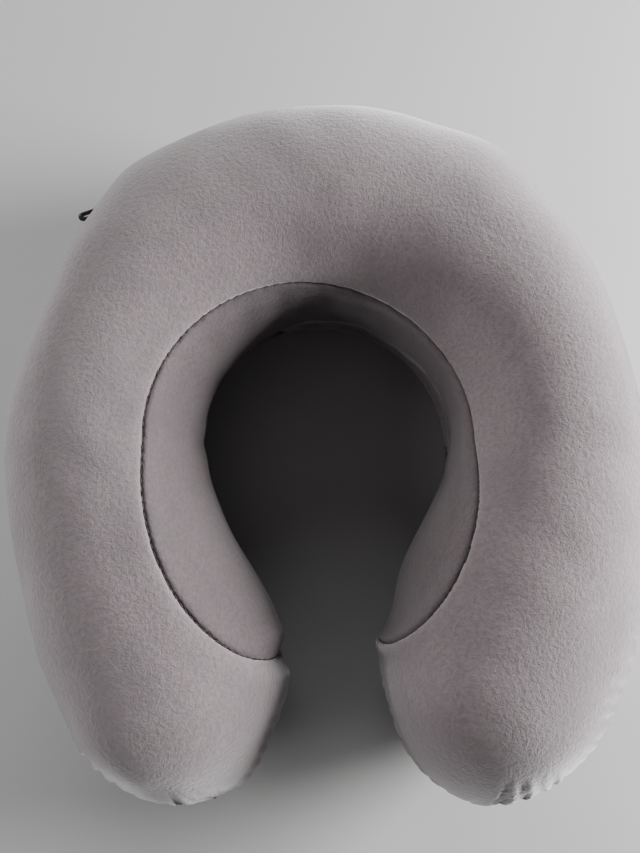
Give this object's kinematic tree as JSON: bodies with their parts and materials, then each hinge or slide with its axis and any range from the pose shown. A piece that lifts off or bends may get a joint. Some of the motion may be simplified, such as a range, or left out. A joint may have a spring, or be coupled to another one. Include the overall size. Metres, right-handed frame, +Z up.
{
  "type": "u shaped neck pillow",
  "caption": "U-shaped travel neck pillow: moulded foam core in a knitted liner and a short-pile velour cover with a neck panel and a zipper round the back",
  "frame": {"origin": "under the middle of the overall size, on the surface that the pillow lies on", "axes": "+Z up, +Y towards the closed back of the U, the arms reach towards -Y, +X to the right seen from above with the back at the top"},
  "size_m": [0.2902, 0.3185, 0.108],
  "materials": {
    "velour": "short brushed pile, mauve grey",
    "memory_foam": "moulded foam skin, cream",
    "liner_knit": "thin white jersey knit",
    "seam_thread": "polyester sewing thread, dark mauve",
    "zipper_tape": "woven tape, charcoal",
    "zipper_thread": "polyester sewing thread, dark mauve",
    "zipper_coil": "nylon coil, black",
    "slider_metal": "black enamel",
    "pull_metal": "black enamel, worn at the edges"
  },
  "bodies": {
    "pillow": {"cover_base_panel": "velour", "cover_neck_panel": "velour", "cover_top_panel": "velour", "edge_seam_thread": "seam_thread", "foam_core": "memory_foam", "inner_liner": "liner_knit", "neck_seam_thread_lower": "seam_thread", "neck_seam_thread_upper": "seam_thread", "zipper_coil_lower": "zipper_coil", "zipper_coil_upper": "zipper_coil", "zipper_end_tack_left": "zipper_thread", "zipper_end_tack_right": "zipper_thread", "zipper_stitching_lower": "zipper_thread", "zipper_stitching_upper": "zipper_thread", "zipper_tape_lower": "zipper_tape", "zipper_tape_upper": "zipper_tape"},
    "slider": {"zipper_slider_body": "slider_metal"},
    "pull": {"zipper_pull_tab": "pull_metal"}
  },
  "joints": [
    {"name": "zipper_slider_travel", "type": "hinge", "parent": "pillow", "child": "slider", "pos_m": [0, 0.01825, 0.0495], "axis": [0, 0, -1], "range_deg": [0, 86.5]},
    {"name": "pull_tab_swing", "type": "hinge", "parent": "slider", "child": "pull", "pos_m": [-0.09738, 0.12167, 0.0495], "axis": [0, 0, -1], "range_deg": [-24, 151]}
  ]
}
